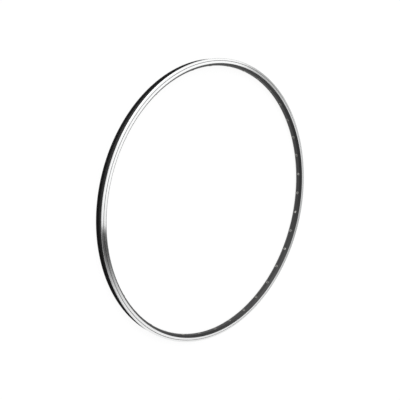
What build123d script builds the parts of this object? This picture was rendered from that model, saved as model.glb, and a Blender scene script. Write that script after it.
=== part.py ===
"""Road bicycle rim: a hollow hooked-flange hoop with machined brake tracks and riveted spoke eyelets.

Millimetres. The wheel's axle is Z, and the origin is the wheel's centre on the rim's middle plane.
"""
import os
from math import sqrt

from build123d import *

# Tyre side: bead seats, hooked flanges and the drop centre between the seats
bead_seat_diameter = 622.0
inner_width = 15.0
flange_height = 5.75
flange_wall = 1.4
hook_reach = 0.6
hook_depth = 1.8
well_depth = 2.0
well_width = 9.8
well_shoulder = 1.2

# Hollow box between the tyre bed and the spoke bed
box_height = 8.5
box_wall = 1.4
hollow_floor_width = 7.6
hollow_roof_width = 14.6
spoke_bed_width = 7.8

# Machined brake track on each side, down from the top of the flange
track_foot_drop = 9.9

# Spoke holes, alternately offset to the two sides of the middle plane
spokes_per_side = 18
first_spoke_angle = 5.0
spoke_offset = 0.5

# Riveted eyelets: a tapered flange on the spoke bed and a barrel that ends inside the box
eyelet_bore_radius = 2.2
eyelet_sheet = 0.5
eyelet_flange_width = 0.6
eyelet_flange_height = 0.6
eyelet_tail = 0.5
eyelet_clearance = 0.05

# Nipple access holes in the tyre bed, and the valve hole midway between two spoke holes
access_hole_radius = 4.0
valve_hole_radius = 3.25
valve_gap = 27

# Sides of each small hole and eyelet, kept few because there are so many of them
small_sides = 8
hidden_sides = 6

# Radii and half widths that follow from the sizes above
seat_radius = bead_seat_diameter / 2
top_radius = seat_radius + flange_height
well_radius = seat_radius - well_depth
bed_radius = seat_radius - box_height
floor_radius = bed_radius + box_wall
roof_radius = well_radius - box_wall
track_foot = top_radius - track_foot_drop
half_inner = inner_width / 2
flange_inside = half_inner + hook_reach
half_width = flange_inside + flange_wall
half_bed = spoke_bed_width / 2
half_well = well_width / 2
seat_start = half_well + well_shoulder
hook_root = top_radius - hook_depth
box_middle = (floor_radius + roof_radius) / 2
drill_start = bed_radius - box_wall
small_turn = 180 / small_sides
hidden_turn = 180 / hidden_sides
spoke_pitch = 180 / spokes_per_side
valve_angle = first_spoke_angle + (valve_gap - 0.5) * spoke_pitch
eyelet_barrel = eyelet_bore_radius + eyelet_sheet
eyelet_flange = eyelet_barrel + eyelet_flange_width
eyelet_seat = sqrt(bed_radius**2 - eyelet_flange**2)
eyelet_face = eyelet_seat - eyelet_flange_height
eyelet_end = floor_radius + eyelet_tail
spoke_hole_radius = eyelet_barrel + eyelet_clearance

# The two sides' holes: first angle and place along the axle
spoke_sides = [(first_spoke_angle, spoke_offset), (first_spoke_angle + spoke_pitch, -spoke_offset)]

os.makedirs("parts", exist_ok=True)

# Stepped spoke drill along X: narrow through the spoke bed, where the eyelet hides it, and wide through
# the tyre bed for the nipple
with BuildPart() as spoke_drill:
    with BuildSketch(Plane.YZ.offset(drill_start)):
        RegularPolygon(spoke_hole_radius, hidden_sides, major_radius=False, rotation=hidden_turn)
    extrude(amount=box_middle - drill_start)
    with BuildSketch(Plane.YZ.offset(box_middle)):
        RegularPolygon(access_hole_radius, small_sides, major_radius=False, rotation=small_turn)
    extrude(amount=top_radius - box_middle)

# Rim hoop: the section is drawn for one side, radius along X and the axle along Y, and mirrored
with BuildPart() as rim_hoop:
    with BuildSketch(Plane.XZ):
        with BuildLine():
            Polyline(
                (well_radius, 0),
                (well_radius, half_well),
                (seat_radius, seat_start),
                (seat_radius, flange_inside),
                (hook_root, flange_inside),
                (top_radius, half_inner),
                (top_radius, half_width),
                (track_foot, half_width),
                (bed_radius, half_bed),
                (bed_radius, 0),
            )
            mirror(about=Plane.XZ)
        make_face()
    revolve(axis=Axis.Z)

    # The hollow of the box runs all the way round
    with BuildSketch(Plane.XZ):
        with BuildLine():
            Polyline(
                (roof_radius, 0),
                (roof_radius, hollow_roof_width / 2),
                (floor_radius, hollow_floor_width / 2),
                (floor_radius, 0),
            )
            mirror(about=Plane.XZ)
        make_face()
    revolve(axis=Axis.Z, mode=Mode.SUBTRACT)

    # Spoke holes on both sides of the middle plane
    for start_angle, offset_z in spoke_sides:
        with PolarLocations(0, spokes_per_side, start_angle):
            with Locations((0, 0, offset_z)):
                add(spoke_drill.part, mode=Mode.SUBTRACT)

    # Valve hole through both walls
    with PolarLocations(0, 1, valve_angle):
        with Locations((drill_start, 0, 0)):
            Cylinder(
                valve_hole_radius,
                top_radius - drill_start,
                rotation=(0, 90, 0),
                align=(Align.CENTER, Align.CENTER, Align.MIN),
                mode=Mode.SUBTRACT,
            )

rim_hoop.part.label = "rim_hoop"
export_step(rim_hoop.part, "parts/rim_hoop.step")

# One eyelet along X: tapered flange, barrel and bore
with BuildPart() as eyelet:
    with BuildSketch(Plane.YZ.offset(eyelet_face)):
        RegularPolygon(eyelet_bore_radius, small_sides, major_radius=False, rotation=small_turn)
    with BuildSketch(Plane.YZ.offset(eyelet_seat)):
        RegularPolygon(eyelet_flange, small_sides, major_radius=False, rotation=small_turn)
    loft()
    with BuildSketch(Plane.YZ.offset(eyelet_seat)):
        RegularPolygon(eyelet_barrel, small_sides, rotation=small_turn)
    extrude(amount=eyelet_end - eyelet_seat)
    with BuildSketch(Plane.YZ.offset(eyelet_face)):
        RegularPolygon(eyelet_bore_radius, small_sides, major_radius=False, rotation=small_turn)
    extrude(amount=eyelet_end - eyelet_face, mode=Mode.SUBTRACT)

# All the eyelets of the rim, one in each spoke hole
with BuildPart() as spoke_eyelets:
    for start_angle, offset_z in spoke_sides:
        with PolarLocations(0, spokes_per_side, start_angle):
            with Locations((0, 0, offset_z)):
                add(eyelet.part)

spoke_eyelets.part.label = "spoke_eyelets"
export_step(spoke_eyelets.part, "parts/spoke_eyelets.step")
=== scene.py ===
"""A bare road bicycle rim, lying on a white studio floor and seen from above its tyre side."""

from math import radians

import bpy
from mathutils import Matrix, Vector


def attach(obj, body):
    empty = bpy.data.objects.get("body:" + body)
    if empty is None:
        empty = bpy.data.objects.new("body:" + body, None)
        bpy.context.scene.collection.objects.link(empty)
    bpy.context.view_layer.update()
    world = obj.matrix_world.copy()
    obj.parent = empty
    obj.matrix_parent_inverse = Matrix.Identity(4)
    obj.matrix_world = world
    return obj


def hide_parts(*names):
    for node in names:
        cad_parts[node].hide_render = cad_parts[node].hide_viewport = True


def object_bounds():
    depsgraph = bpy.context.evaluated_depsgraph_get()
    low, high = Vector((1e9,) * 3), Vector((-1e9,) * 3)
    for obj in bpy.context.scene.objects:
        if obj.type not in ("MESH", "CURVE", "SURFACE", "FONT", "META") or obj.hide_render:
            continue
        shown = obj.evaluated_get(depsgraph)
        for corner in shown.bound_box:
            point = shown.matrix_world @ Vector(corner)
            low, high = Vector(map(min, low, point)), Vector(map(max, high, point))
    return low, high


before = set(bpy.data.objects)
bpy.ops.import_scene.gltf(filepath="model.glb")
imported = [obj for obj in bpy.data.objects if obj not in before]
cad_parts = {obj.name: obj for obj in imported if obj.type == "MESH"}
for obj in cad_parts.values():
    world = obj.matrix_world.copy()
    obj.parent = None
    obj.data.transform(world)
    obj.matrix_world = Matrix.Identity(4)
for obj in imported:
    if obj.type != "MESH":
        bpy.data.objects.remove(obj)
cad_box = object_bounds()

MM = 0.001

# Tyre side of the rim in millimetres, as in the solids: bead seats, hooked flanges and the drop centre
BEAD_SEAT_RADIUS = 311.0
FLANGE_HEIGHT = 5.75
FLANGE_WALL = 1.4
HALF_INNER = 7.5
HOOK_REACH = 0.6
HOOK_DEPTH = 1.8
WELL_DEPTH = 2.0
WELL_SHOULDER = 1.2
HALF_WELL = 4.9
TOP_RADIUS = BEAD_SEAT_RADIUS + FLANGE_HEIGHT
WELL_RADIUS = BEAD_SEAT_RADIUS - WELL_DEPTH
HOOK_ROOT = TOP_RADIUS - HOOK_DEPTH
FLANGE_INSIDE = HALF_INNER + HOOK_REACH
HALF_WIDTH = FLANGE_INSIDE + FLANGE_WALL
SEAT_START = HALF_WELL + WELL_SHOULDER

# Hollow box between the tyre bed and the spoke bed, and the brake track on each side
BOX_HEIGHT = 8.5
BOX_WALL = 1.4
HALF_BED = 3.9
HOLLOW_HALF_FLOOR = 3.8
HOLLOW_HALF_ROOF = 7.3
TRACK_HEIGHT = 9.9
BED_RADIUS = BEAD_SEAT_RADIUS - BOX_HEIGHT
FLOOR_RADIUS = BED_RADIUS + BOX_WALL
ROOF_RADIUS = WELL_RADIUS - BOX_WALL
BOX_MIDDLE = (FLOOR_RADIUS + ROOF_RADIUS) / 2
TRACK_FOOT = TOP_RADIUS - TRACK_HEIGHT

# Rolled eyelet: radii about its own axis and heights over the spoke bed, towards the hub. Its flange is sunk
# a little into the bed, so that no gap shows under it
EYELET_BORE = 2.2
EYELET_BARREL = 2.7
EYELET_CROWN_RADIUS = 2.9
EYELET_FLANGE = 3.3
EYELET_TAIL = -1.9
EYELET_SEAT = -0.02
EYELET_EDGE = 0.25
EYELET_CROWN = 0.6
EYELET_TAIL_ROUND = 0.1
EYELET_SEAT_ROUND = 0.02
EYELET_ROLL = 0.3

# Spoke holes, alternately offset along the axle, and the valve hole. The drills reach past what they cut
SPOKES = 36
FIRST_SPOKE = radians(5.0)
SPOKE_OFFSET = 0.5
EYELET_CLEARANCE = 0.05
SPOKE_HOLE_RADIUS = EYELET_BARREL + EYELET_CLEARANCE
SPOKE_DRILL_LENGTH = 13.0
ACCESS_HOLE_RADIUS = 4.0
ACCESS_DRILL_LENGTH = TOP_RADIUS - BOX_MIDDLE
VALVE_HOLE_RADIUS = 3.25
VALVE_DRILL_LENGTH = 30.0
VALVE_ANGLE = radians(270.0)

# Finer forms that only the visual model has: roundings and the turned wear line
SEAT_ROUND = 0.6
HOOK_ROUND = 0.4
LIP_ROUND = 0.55
CREST_ROUND = 1.0
FOOT_ROUND = 0.4
BED_ROUND = 3.0
HOLLOW_ROUND = 0.5
WEAR_LINE = 311.9
WEAR_LINE_HALF = 0.5
WEAR_LINE_DEPTH = 0.4

# Where the metal is bare: outside this radius and beyond this half width. A face whose middle lies at least
# this deep under the track is a wall of the wear line
BARE_FOOT = 307.2
BARE_EDGE = 8.8
LINE_FACE_DEPTH = 0.02

# Steps of the meshes, the distance within which the ends of a sweep join, and the angle of a sharp edge
HOOP_STEPS = 720
HOOP_CORNER_STEPS = 5
HOLE_SIDES = 40
EYELET_STEPS = 40
EYELET_CORNER_STEPS = 4
JOIN_DISTANCE = 0.001
SHARP_ANGLE = radians(28.0)

# Patterns of the finishes in millimetres. Die lines are about 0.1 mm wide and tool marks about 0.2 mm apart:
# both are drawn coarser, so that they show
DIE_LINE_WIDTH = 0.6
DIE_LINE_HEIGHT = 0.02
DYE_PATCH = 15.0
TOOL_MARK_PITCH = 0.8
TOOL_MARK_HEIGHT = 0.02
PRESS_WAVE = 1.0
PRESS_WAVE_HEIGHT = 0.03

# A Mix node's colour sockets share their names with its other sockets, so they are found by place
FIRST_COLOUR = 6
SECOND_COLOUR = 7
MIXED_COLOUR = 2

# Floor: half its side in metres, and the share and strength of its own glow where it is seen. The paper's
# light and the glow together come to white, and the paper's part keeps the shadow
FLOOR_HALF_SIZE = 6.0
GLOW_SHARE = 0.85
GLOW_STRENGTH = 1.07

# The room that the bright tracks mirror. Each smooth step is (axis, start, end, low, high): along that axis
# of the direction, the level goes from low at start to high at end. Seen from the valve hole's side, X runs
# to the right, Y to the far wall and Z up
ROOM_STEPS = {
    # The ceiling starts above the far wall, and is dimmer straight overhead and at the right
    "ceiling_edge": ("Z", 0.637, 0.657, 0.0, 1.0),
    "ceiling_top": ("Z", 0.87, 0.97, 1.11, 0.8),
    "ceiling_right": ("X", 0.1, 0.2, 1.0, 0.88),
    # The far wall is dim at its left end and light at its right end, and meets a lit side wall at the left
    "wall_left": ("X", -0.165, -0.09, 0.3, 0.74),
    "wall_middle": ("X", 0.04, 0.15, 0.0, -0.18),
    "wall_right": ("X", 0.17, 0.36, 0.0, 0.37),
    "side_wall_turn": ("X", -0.19, -0.24, 0.0, 0.5),
    "side_wall_foot": ("Z", 0.3, 0.45, 0.0, 1.0),
    # A dark gap between the soft boxes over the far half
    "gap_left": ("X", 0.195, 0.21, 0.0, 1.0),
    "gap_right": ("X", 0.25, 0.37, 1.0, 0.0),
    "gap_far": ("Y", 0.76, 0.68, 0.0, 1.0),
    # The near half has the key light at its left, shade at its right that thins out, and the ceiling above
    "key": ("X", -0.2, -0.8, 0.75, 2.4),
    "shade_start": ("X", 0.05, 0.4, 1.0, 0.33),
    "shade_end": ("X", 0.5, 0.9, 0.0, 0.34),
    "near_ceiling": ("Z", 0.68, 0.8, 0.0, 1.0),
    "far_half": ("Y", 0.0, 0.3, 0.0, 1.0),
    # A dark corner on the near side of the gap
    "corner_left": ("X", 0.28, 0.36, 0.0, 1.0),
    "corner_right": ("X", 0.45, 0.6, 1.0, 0.0),
    "corner_far": ("Y", 0.46, 0.4, 0.0, 1.0),
    "corner_foot": ("Z", 0.3, 0.45, 0.0, 1.0),
}
GAP_DARKNESS = 0.92
CORNER_DARKNESS = 0.95

# How the steps make up the room, in order. Each line is (name, operation, terms), and may update a name
ROOM_SUMS = [
    ("wall", "ADD", "wall_left", "wall_middle"),
    ("wall", "ADD", "wall", "wall_right"),
    ("side_wall", "MULTIPLY", "side_wall_turn", "side_wall_foot"),
    ("wall", "ADD", "wall", "side_wall"),
    ("ceiling", "MULTIPLY", "ceiling_top", "ceiling_right"),
    ("above_wall", "SUBTRACT", "ceiling", "wall"),
    ("far", "MULTIPLY_ADD", "ceiling_edge", "above_wall", "wall"),
    ("gap", "MULTIPLY", "gap_left", "gap_right"),
    ("gap", "MULTIPLY", "gap", "gap_far"),
    ("gap", "MULTIPLY_ADD", "gap", -GAP_DARKNESS, 1.0),
    ("far", "MULTIPLY", "far", "gap"),
    ("shade", "ADD", "shade_start", "shade_end"),
    ("near", "MULTIPLY", "key", "shade"),
    ("above_near", "SUBTRACT", "ceiling", "near"),
    ("near", "MULTIPLY_ADD", "near_ceiling", "above_near", "near"),
    ("beyond_near", "SUBTRACT", "far", "near"),
    ("room", "MULTIPLY_ADD", "far_half", "beyond_near", "near"),
    ("corner", "MULTIPLY", "corner_left", "corner_right"),
    ("corner", "MULTIPLY", "corner", "corner_far"),
    ("corner", "MULTIPLY", "corner", "corner_foot"),
    ("corner", "MULTIPLY_ADD", "corner", -CORNER_DARKNESS, 1.0),
    ("room", "MULTIPLY", "room", "corner"),
]

# The photograph's view, from ellipses fitted to the rim's edges: place in metres, turns about X, Y and Z in
# degrees, lens and sensor in millimetres, and how far it sees in metres
VIEW_PLACE = (-0.12862, -0.74217, 0.68320)
VIEW_TURNS = (-12.7057, -43.5889, 98.2023)
VIEW_LENS = 40.262
VIEW_SENSOR = 36.0
VIEW_REACH = 50.0


def linear(hex_colour):
    """The linear RGBA of an sRGB hex colour."""
    parts = [int(hex_colour[i:i + 2], 16) / 255 for i in (1, 3, 5)]
    return [p / 12.92 if p <= 0.04045 else ((p + 0.055) / 1.055) ** 2.4 for p in parts] + [1.0]


def put(tree, kind, sockets=None, **settings):
    """Adds a node with its settings, and links or sets its sockets."""
    node = tree.nodes.new(kind)
    for name, value in settings.items():
        setattr(node, name, value)
    for key, value in (sockets or {}).items():
        if isinstance(value, bpy.types.NodeSocket):
            tree.links.new(value, node.inputs[key])
        else:
            node.inputs[key].default_value = value
    return node


def new_material(name):
    """A material with an empty node tree."""
    material = bpy.data.materials.new(name)
    material.use_nodes = True
    material.node_tree.nodes.clear()
    return material, material.node_tree


def hoop_coordinates(tree):
    """Object coordinates as a hoop has them: the place, the way outwards, and radius and axle as X and Y."""
    place = put(tree, "ShaderNodeTexCoord").outputs["Object"]
    split = put(tree, "ShaderNodeSeparateXYZ", {0: place}).outputs
    outward = put(tree, "ShaderNodeCombineXYZ", {"X": split["X"], "Y": split["Y"]}).outputs[0]
    radius = put(tree, "ShaderNodeVectorMath", {0: outward}, operation="LENGTH").outputs["Value"]
    section = put(tree, "ShaderNodeCombineXYZ", {"X": radius, "Y": split["Z"]}).outputs[0]
    return {"place": place, "outward": outward, "section": section}


def anodised_black():
    """Extruded aluminium, anodised black: a satin, faintly mottled black with die lines round the hoop."""
    material, tree = new_material("black_anodised_aluminium")
    hoop = hoop_coordinates(tree)
    lines = put(tree, "ShaderNodeTexNoise", {
        "Vector": hoop["section"], "Scale": 1 / (DIE_LINE_WIDTH * MM), "Detail": 3.0}).outputs["Fac"]
    # The dye is a little uneven
    mottle = put(tree, "ShaderNodeTexNoise", {
        "Vector": hoop["place"], "Scale": 1 / (DYE_PATCH * MM), "Detail": 4.0}).outputs["Fac"]
    colour = put(tree, "ShaderNodeMix", {
        "Factor": mottle, FIRST_COLOUR: linear("#121213"), SECOND_COLOUR: linear("#1b1b1c")},
        data_type="RGBA")
    rough = put(tree, "ShaderNodeMapRange", {"Value": lines, "To Min": 0.42, "To Max": 0.58})
    bump = put(tree, "ShaderNodeBump", {"Height": lines, "Strength": 0.12, "Distance": DIE_LINE_HEIGHT * MM})
    shader = put(tree, "ShaderNodeBsdfPrincipled", {
        "Base Color": colour.outputs[MIXED_COLOUR], "Roughness": rough.outputs[0], "Normal": bump.outputs[0],
        "IOR": 1.6})
    put(tree, "ShaderNodeOutputMaterial", {"Surface": shader.outputs["BSDF"]})
    return material


def turned_aluminium():
    """Bare aluminium, turned on a lathe: a bright mirror along its fine rings, a soft gloss across them."""
    material, tree = new_material("turned_bare_aluminium")
    hoop = hoop_coordinates(tree)
    rings = put(tree, "ShaderNodeTexNoise", {
        "Vector": hoop["section"], "Scale": 1 / (TOOL_MARK_PITCH * MM), "Detail": 2.0}).outputs["Fac"]
    colour = put(tree, "ShaderNodeMix", {
        "Factor": rings, FIRST_COLOUR: linear("#eceded"), SECOND_COLOUR: linear("#f8f8f8")},
        data_type="RGBA")
    rough = put(tree, "ShaderNodeMapRange", {"Value": rings, "To Min": 0.08, "To Max": 0.13})
    bump = put(tree, "ShaderNodeBump", {"Height": rings, "Strength": 0.1, "Distance": TOOL_MARK_HEIGHT * MM})
    along = put(tree, "ShaderNodeVectorMath", {0: (0, 0, 1), 1: hoop["outward"]}, operation="CROSS_PRODUCT")
    along = put(tree, "ShaderNodeVectorMath", {0: along.outputs[0]}, operation="NORMALIZE")
    shader = put(tree, "ShaderNodeBsdfPrincipled", {
        "Base Color": colour.outputs[MIXED_COLOUR], "Roughness": rough.outputs[0], "Normal": bump.outputs[0],
        "Tangent": along.outputs[0], "Metallic": 1.0, "Anisotropic": 1.0, "Anisotropic Rotation": 0.25})
    put(tree, "ShaderNodeOutputMaterial", {"Surface": shader.outputs["BSDF"]})
    return material


def plated_steel():
    """Pressed steel with bright plating: a smooth grey mirror, with soft waves from pressing."""
    material, tree = new_material("plated_steel")
    place = put(tree, "ShaderNodeTexCoord").outputs["Object"]
    waves = put(tree, "ShaderNodeTexNoise", {
        "Vector": place, "Scale": 1 / (PRESS_WAVE * MM), "Detail": 2.0}).outputs["Fac"]
    rough = put(tree, "ShaderNodeMapRange", {"Value": waves, "To Min": 0.16, "To Max": 0.3})
    bump = put(tree, "ShaderNodeBump", {
        "Height": waves, "Strength": 0.15, "Distance": PRESS_WAVE_HEIGHT * MM})
    shader = put(tree, "ShaderNodeBsdfPrincipled", {
        "Base Color": linear("#a8a7a3"), "Roughness": rough.outputs[0], "Normal": bump.outputs[0],
        "Metallic": 1.0})
    put(tree, "ShaderNodeOutputMaterial", {"Surface": shader.outputs["BSDF"]})
    return material


def outline_mesh(name, loops):
    """A mesh of closed outlines. A loop is (points, hollow), and a point (x, y, rounding) in millimetres."""
    points = []
    edges = []
    hollow_flags = []
    for loop, hollow in loops:
        start = len(points)
        points += loop
        hollow_flags += [hollow] * len(loop)
        edges += [(start + i, start + (i + 1) % len(loop)) for i in range(len(loop))]
    mesh = bpy.data.meshes.new(name)
    mesh.from_pydata([(x * MM, y * MM, 0) for x, y, rounding in points], edges, [])
    roundings = mesh.attributes.new("rounding", "FLOAT", "POINT")
    roundings.data.foreach_set("value", [rounding * MM for x, y, rounding in points])
    inside = mesh.attributes.new("hollow", "BOOLEAN", "POINT")
    inside.data.foreach_set("value", hollow_flags)
    return mesh


def new_tree(name, inputs):
    """A geometry tree with a geometry input and output and these named inputs."""
    tree = bpy.data.node_groups.new(name, "GeometryNodeTree")
    tree.interface.new_socket("Geometry", in_out="OUTPUT", socket_type="NodeSocketGeometry")
    tree.interface.new_socket("Geometry", in_out="INPUT", socket_type="NodeSocketGeometry")
    for label, kind in inputs.items():
        tree.interface.new_socket(label, in_out="INPUT", socket_type="NodeSocket" + kind)
    return tree, put(tree, "NodeGroupInput").outputs


def end_tree(tree, geometry, materials):
    """Realises the instances and gives each (selection, material) its faces, in order."""
    geometry = put(tree, "GeometryNodeRealizeInstances", {"Geometry": geometry}).outputs[0]
    for selection, material in materials:
        geometry = put(tree, "GeometryNodeSetMaterial", {
            "Geometry": geometry, "Selection": selection, "Material": material}).outputs[0]
    put(tree, "NodeGroupOutput", {0: geometry})


def sweep(tree, outline, path_radius, path_steps, corner_steps):
    """The outline, rounded at its corners and carried once round a circle about Z."""
    curve = put(tree, "GeometryNodeMeshToCurve", {"Mesh": outline})
    rounding = put(tree, "GeometryNodeInputNamedAttribute", {"Name": "rounding"})
    rounded = put(tree, "GeometryNodeFilletCurve", {
        "Curve": curve.outputs[0], "Count": corner_steps, "Radius": rounding.outputs["Attribute"],
        "Limit Radius": True}, mode="POLY")
    circle = put(tree, "GeometryNodeCurvePrimitiveCircle", {"Resolution": path_steps, "Radius": path_radius})
    upright = put(tree, "GeometryNodeSetCurveNormal", {"Curve": circle.outputs[0]}, mode="Z_UP")
    swept = put(tree, "GeometryNodeCurveToMesh", {
        "Curve": upright.outputs[0], "Profile Curve": rounded.outputs[0]})
    return put(tree, "GeometryNodeMergeByDistance", {
        "Geometry": swept.outputs[0], "Distance": JOIN_DISTANCE * MM}).outputs[0]


def spoke_places(tree, given, radius):
    """Points round the hoop, alternately offset along the axle, and the rotations that turn Z outwards."""
    circle = put(tree, "GeometryNodeMeshCircle", {"Vertices": given["Spokes"], "Radius": radius})
    angle = put(tree, "ShaderNodeCombineXYZ", {"Z": given["First Spoke"]})
    turned = put(tree, "GeometryNodeTransform", {
        "Geometry": circle.outputs[0], "Rotation": angle.outputs[0]})
    # The side is 1 at the even points and -1 at the odd ones
    index = put(tree, "GeometryNodeInputIndex")
    odd = put(tree, "ShaderNodeMath", {0: index.outputs[0], 1: 2.0}, operation="MODULO")
    side = put(tree, "ShaderNodeMath", {0: odd.outputs[0], 1: -2.0, 2: 1.0}, operation="MULTIPLY_ADD")
    shift = put(tree, "ShaderNodeMath", {0: side.outputs[0], 1: given["Spoke Offset"]}, operation="MULTIPLY")
    along = put(tree, "ShaderNodeCombineXYZ", {"Z": shift.outputs[0]})
    moved = put(tree, "GeometryNodeSetPosition", {"Geometry": turned.outputs[0], "Offset": along.outputs[0]})
    place = put(tree, "GeometryNodeInputPosition")
    flat = put(tree, "ShaderNodeVectorMath", {0: place.outputs[0], 1: (1, 1, 0)}, operation="MULTIPLY")
    outward = put(tree, "FunctionNodeAlignRotationToVector", {"Vector": flat.outputs[0]}, axis="Z")
    return moved.outputs[0], outward.outputs[0]


def plain_mesh(piece):
    """A new mesh of what the piece's modifiers give."""
    return bpy.data.meshes.new_from_object(piece.evaluated_get(bpy.context.evaluated_depsgraph_get()))


def grow(name, outline, tree, values):
    """An object whose mesh the tree makes from the outline, with smooth faces and sharp edges by angle."""
    seed = bpy.data.objects.new(name + "_outline", outline)
    bpy.context.collection.objects.link(seed)
    modifier = seed.modifiers.new("tree", "NODES")
    modifier.node_group = tree
    for item in tree.interface.items_tree:
        if item.in_out == "INPUT" and item.name in values:
            modifier[item.identifier] = values[item.name]
    mesh = plain_mesh(seed)
    bpy.data.objects.remove(seed)
    mesh.shade_smooth()
    mesh.set_sharp_from_angle(angle=SHARP_ANGLE)
    piece = bpy.data.objects.new(name, mesh)
    bpy.context.collection.objects.link(piece)
    # Wide flat faces keep their own direction beside narrow rounded ones, so that the tracks reflect as flat
    weighting = piece.modifiers.new("flat_faces", "WEIGHTED_NORMAL")
    weighting.keep_sharp = True
    piece.data = plain_mesh(piece)
    piece.modifiers.remove(weighting)
    bpy.data.meshes.remove(mesh)
    piece.data.name = name
    return piece


def hoop_outline():
    """The rim's section and the hollow in it, as radius over the bead seat and place along the axle."""
    side = [
        (WELL_RADIUS, HALF_WELL, SEAT_ROUND),
        (BEAD_SEAT_RADIUS, SEAT_START, SEAT_ROUND),
        (BEAD_SEAT_RADIUS, FLANGE_INSIDE, SEAT_ROUND),
        (HOOK_ROOT, FLANGE_INSIDE, HOOK_ROUND),
        (TOP_RADIUS, HALF_INNER, LIP_ROUND),
        (TOP_RADIUS, HALF_WIDTH, CREST_ROUND),
        (WEAR_LINE + WEAR_LINE_HALF, HALF_WIDTH, 0.0),
        (WEAR_LINE, HALF_WIDTH - WEAR_LINE_DEPTH, 0.0),
        (WEAR_LINE - WEAR_LINE_HALF, HALF_WIDTH, 0.0),
        (TRACK_FOOT, HALF_WIDTH, FOOT_ROUND),
        (BED_RADIUS, HALF_BED, BED_ROUND),
    ]
    hollow_side = [
        (ROOF_RADIUS, HOLLOW_HALF_ROOF, HOLLOW_ROUND),
        (FLOOR_RADIUS, HOLLOW_HALF_FLOOR, HOLLOW_ROUND),
    ]
    loops = []
    for half, hollow in ((side, False), (hollow_side, True)):
        loop = half + [(r, -z, rounding) for r, z, rounding in reversed(half)]
        loops.append(([(r - BEAD_SEAT_RADIUS, z, rounding) for r, z, rounding in loop], hollow))
    return outline_mesh("hoop_section", loops)


def hoop_drills(tree, given):
    """The drills: at each spoke a narrow one inwards and a wide one outwards, and one for the valve."""
    drills = []
    # A bit is made about its middle, so it moves by half its length, inwards or outwards
    for hole, half in (("Spoke", -0.5), ("Access", 0.5)):
        length = given[hole + " Drill Length"]
        bit = put(tree, "GeometryNodeMeshCylinder", {
            "Vertices": given["Hole Sides"], "Radius": given[hole + " Hole Radius"], "Depth": length})
        lift = put(tree, "ShaderNodeMath", {0: length, 1: half}, operation="MULTIPLY")
        shift = put(tree, "ShaderNodeCombineXYZ", {"Z": lift.outputs[0]})
        moved = put(tree, "GeometryNodeTransform", {
            "Geometry": bit.outputs["Mesh"], "Translation": shift.outputs[0]})
        points, outward = spoke_places(tree, given, given["Box Middle"])
        set_out = put(tree, "GeometryNodeInstanceOnPoints", {
            "Points": points, "Instance": moved.outputs[0], "Rotation": outward})
        drills.append(put(tree, "GeometryNodeRealizeInstances", {0: set_out.outputs[0]}).outputs[0])
    bit = put(tree, "GeometryNodeMeshCylinder", {
        "Vertices": given["Hole Sides"], "Radius": given["Valve Hole Radius"],
        "Depth": given["Valve Drill Length"]})
    reach = put(tree, "ShaderNodeCombineXYZ", {"X": given["Box Middle"]})
    laid = put(tree, "GeometryNodeTransform", {
        "Geometry": bit.outputs["Mesh"], "Translation": reach.outputs[0], "Rotation": (0, radians(90.0), 0)})
    turn = put(tree, "ShaderNodeCombineXYZ", {"Z": given["Valve Angle"]})
    turned = put(tree, "GeometryNodeTransform", {"Geometry": laid.outputs[0], "Rotation": turn.outputs[0]})
    return drills + [turned.outputs[0]]


def bare_faces(tree, given):
    """Selects the bare metal, from the track's foot over the crest, without the wear line's dyed walls."""
    place = put(tree, "GeometryNodeInputPosition")
    split = put(tree, "ShaderNodeSeparateXYZ", {0: place.outputs[0]}).outputs
    flat = put(tree, "ShaderNodeCombineXYZ", {"X": split["X"], "Y": split["Y"]})
    radius = put(tree, "ShaderNodeVectorMath", {0: flat.outputs[0]}, operation="LENGTH").outputs["Value"]
    height = put(tree, "ShaderNodeMath", {0: split["Z"]}, operation="ABSOLUTE").outputs[0]
    outer = put(tree, "ShaderNodeMath", {0: radius, 1: given["Bare Foot"]}, operation="GREATER_THAN")
    wide = put(tree, "ShaderNodeMath", {0: height, 1: given["Bare Edge"]}, operation="GREATER_THAN")
    bare = put(tree, "ShaderNodeMath", {0: outer.outputs[0], 1: wide.outputs[0]}, operation="MULTIPLY")
    near = put(tree, "ShaderNodeMath", {
        0: radius, 1: given["Wear Line"], 2: given["Line Half"]}, operation="COMPARE")
    sunk = put(tree, "ShaderNodeMath", {0: height, 1: given["Line Face Height"]}, operation="LESS_THAN")
    line = put(tree, "ShaderNodeMath", {0: near.outputs[0], 1: sunk.outputs[0]}, operation="MULTIPLY")
    track = put(tree, "ShaderNodeMath", {0: bare.outputs[0], 1: line.outputs[0]}, operation="SUBTRACT")
    return track.outputs[0]


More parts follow.
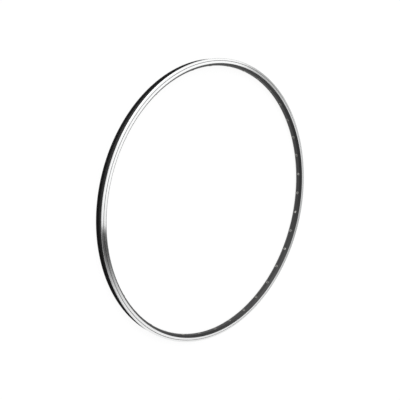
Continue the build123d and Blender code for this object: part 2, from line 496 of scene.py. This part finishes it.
def hoop_tree():
    """Sweeps the section round the wheel, takes out the hollow and the holes, and bares the tracks."""
    tree, given = new_tree("rim_sweep", {
        "Path Radius": "Float", "Path Steps": "Int", "Corner Steps": "Int", "Hole Sides": "Int",
        "Spokes": "Int", "First Spoke": "Float", "Spoke Offset": "Float", "Box Middle": "Float",
        "Spoke Hole Radius": "Float", "Spoke Drill Length": "Float",
        "Access Hole Radius": "Float", "Access Drill Length": "Float",
        "Valve Hole Radius": "Float", "Valve Drill Length": "Float", "Valve Angle": "Float",
        "Bare Foot": "Float", "Bare Edge": "Float",
        "Wear Line": "Float", "Line Half": "Float", "Line Face Height": "Float",
        "Body Finish": "Material", "Track Finish": "Material"})
    hollow = put(tree, "GeometryNodeInputNamedAttribute", {"Name": "hollow"}, data_type="BOOLEAN")
    parted = put(tree, "GeometryNodeSeparateGeometry", {
        "Geometry": given["Geometry"], "Selection": hollow.outputs["Attribute"]})
    steps = (given["Path Radius"], given["Path Steps"], given["Corner Steps"])
    body = sweep(tree, parted.outputs["Inverted"], *steps)
    void = sweep(tree, parted.outputs["Selection"], *steps)
    for tool in [void] + hoop_drills(tree, given):
        cut = put(tree, "GeometryNodeMeshBoolean", {"Mesh 1": body, "Mesh 2": tool}, solver="MANIFOLD")
        body = cut.outputs["Mesh"]
    end_tree(tree, body, [(True, given["Body Finish"]), (bare_faces(tree, given), given["Track Finish"])])
    return tree


def eyelet_outline():
    """The section of one rolled eyelet, as radius over the bore and height over the spoke bed."""
    loop = [
        (EYELET_BARREL, EYELET_TAIL, EYELET_TAIL_ROUND),
        (EYELET_BARREL, EYELET_SEAT, EYELET_SEAT_ROUND),
        (EYELET_FLANGE, EYELET_SEAT, EYELET_SEAT_ROUND),
        (EYELET_FLANGE, EYELET_EDGE, EYELET_EDGE),
        (EYELET_CROWN_RADIUS, EYELET_CROWN, EYELET_ROLL),
        (EYELET_BORE, EYELET_CROWN, EYELET_ROLL),
        (EYELET_BORE, EYELET_TAIL, EYELET_TAIL_ROUND),
    ]
    points = [(r - EYELET_BORE, h, rounding) for r, h, rounding in loop]
    return outline_mesh("eyelet_section", [(points, False)])


def eyelet_tree():
    """Turns one eyelet and sets a copy in each spoke hole."""
    tree, given = new_tree("spoke_eyelet_ring", {
        "Bore Radius": "Float", "Ring Steps": "Int", "Corner Steps": "Int", "Spokes": "Int",
        "First Spoke": "Float", "Spoke Offset": "Float", "Bed Radius": "Float", "Finish": "Material"})
    ring = sweep(tree, given["Geometry"], given["Bore Radius"], given["Ring Steps"], given["Corner Steps"])
    points, outward = spoke_places(tree, given, given["Bed Radius"])
    set_out = put(tree, "GeometryNodeInstanceOnPoints", {
        "Points": points, "Instance": ring, "Rotation": outward})
    end_tree(tree, set_out.outputs[0], [(True, given["Finish"])])
    return tree


def make_rim():
    """The hoop and its eyelets, in place of the plain solids."""
    spokes = {"Spokes": SPOKES, "First Spoke": FIRST_SPOKE, "Spoke Offset": SPOKE_OFFSET * MM}
    hoop = grow("rim_hoop_smooth", hoop_outline(), hoop_tree(), {
        "Path Radius": BEAD_SEAT_RADIUS * MM, "Path Steps": HOOP_STEPS, "Corner Steps": HOOP_CORNER_STEPS,
        "Hole Sides": HOLE_SIDES, "Box Middle": BOX_MIDDLE * MM,
        "Spoke Hole Radius": SPOKE_HOLE_RADIUS * MM, "Spoke Drill Length": SPOKE_DRILL_LENGTH * MM,
        "Access Hole Radius": ACCESS_HOLE_RADIUS * MM, "Access Drill Length": ACCESS_DRILL_LENGTH * MM,
        "Valve Hole Radius": VALVE_HOLE_RADIUS * MM, "Valve Drill Length": VALVE_DRILL_LENGTH * MM,
        "Valve Angle": VALVE_ANGLE, "Bare Foot": BARE_FOOT * MM, "Bare Edge": BARE_EDGE * MM,
        "Wear Line": WEAR_LINE * MM, "Line Half": WEAR_LINE_HALF * MM,
        "Line Face Height": (HALF_WIDTH - LINE_FACE_DEPTH) * MM,
        "Body Finish": anodised_black(), "Track Finish": turned_aluminium(), **spokes})
    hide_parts("rim_hoop")
    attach(hoop, "root")
    eyelets = grow("spoke_eyelets_rolled", eyelet_outline(), eyelet_tree(), {
        "Bore Radius": EYELET_BORE * MM, "Ring Steps": EYELET_STEPS, "Corner Steps": EYELET_CORNER_STEPS,
        "Bed Radius": BED_RADIUS * MM, "Finish": plated_steel(), **spokes})
    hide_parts("spoke_eyelets")
    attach(eyelets, "root")


def white_paper():
    """Matt white paper that glows where it is seen, itself or in the metal, and keeps a soft shadow."""
    material, tree = new_material("white_studio_paper")
    paper = put(tree, "ShaderNodeBsdfDiffuse", {"Color": linear("#f4f4f4")})
    glow = put(tree, "ShaderNodeEmission", {"Color": (1, 1, 1, 1), "Strength": GLOW_STRENGTH})
    rays = put(tree, "ShaderNodeLightPath").outputs
    seen = rays["Is Camera Ray"]
    for ray in ("Is Glossy Ray", "Is Transmission Ray"):
        seen = put(tree, "ShaderNodeMath", {0: seen, 1: rays[ray]}, operation="MAXIMUM").outputs[0]
    share = put(tree, "ShaderNodeMath", {0: seen, 1: GLOW_SHARE}, operation="MULTIPLY")
    mixed = put(tree, "ShaderNodeMixShader", {0: share.outputs[0], 1: paper.outputs[0], 2: glow.outputs[0]})
    put(tree, "ShaderNodeOutputMaterial", {"Surface": mixed.outputs[0]})
    return material


def make_floor():
    """A plain white floor under the lower flange."""
    level = cad_box[0][2]
    signs = ((-1, -1), (1, -1), (1, 1), (-1, 1))
    corners = [(x * FLOOR_HALF_SIZE, y * FLOOR_HALF_SIZE, level) for x, y in signs]
    mesh = bpy.data.meshes.new("studio_floor")
    mesh.from_pydata(corners, [], [(0, 1, 2, 3)])
    mesh.materials.append(white_paper())
    floor = bpy.data.objects.new("studio_floor", mesh)
    bpy.context.collection.objects.link(floor)


def make_light():
    """A soft room: a bright ceiling, a greyer far wall, a dark gap and corner, and a key light."""
    world = bpy.data.worlds.new("studio_room")
    bpy.context.scene.world = world
    world.use_nodes = True
    tree = world.node_tree
    tree.nodes.clear()
    way = put(tree, "ShaderNodeTexCoord").outputs["Generated"]
    axes = put(tree, "ShaderNodeSeparateXYZ", {0: way}).outputs
    levels = {}
    for name, (axis, start, end, low, high) in ROOM_STEPS.items():
        step = put(tree, "ShaderNodeMapRange", {
            "Value": axes[axis], "From Min": start, "From Max": end, "To Min": low, "To Max": high},
            interpolation_type="SMOOTHSTEP")
        levels[name] = step.outputs[0]
    for name, operation, *terms in ROOM_SUMS:
        sockets = {i: levels.get(term, term) for i, term in enumerate(terms)}
        levels[name] = put(tree, "ShaderNodeMath", sockets, operation=operation).outputs[0]
    # The camera itself sees white
    rays = put(tree, "ShaderNodeLightPath").outputs
    strength = put(tree, "ShaderNodeMath", {
        0: levels["room"], 1: rays["Is Camera Ray"]}, operation="MAXIMUM")
    room = put(tree, "ShaderNodeBackground", {"Color": (1, 1, 1, 1), "Strength": strength.outputs[0]})
    put(tree, "ShaderNodeOutputWorld", {"Surface": room.outputs[0]})


def make_camera():
    """The photograph's view: from above the near side, rolled so that the hoop stands upright in it."""
    lens = bpy.data.cameras.new("view")
    lens.sensor_width = VIEW_SENSOR
    lens.lens = VIEW_LENS
    lens.clip_end = VIEW_REACH
    camera = bpy.data.objects.new("view", lens)
    camera.location = VIEW_PLACE
    camera.rotation_euler = [radians(turn) for turn in VIEW_TURNS]
    bpy.context.collection.objects.link(camera)
    bpy.context.scene.camera = camera


make_rim()
make_floor()
make_light()
make_camera()
bpy.context.scene.view_settings.view_transform = "Standard"
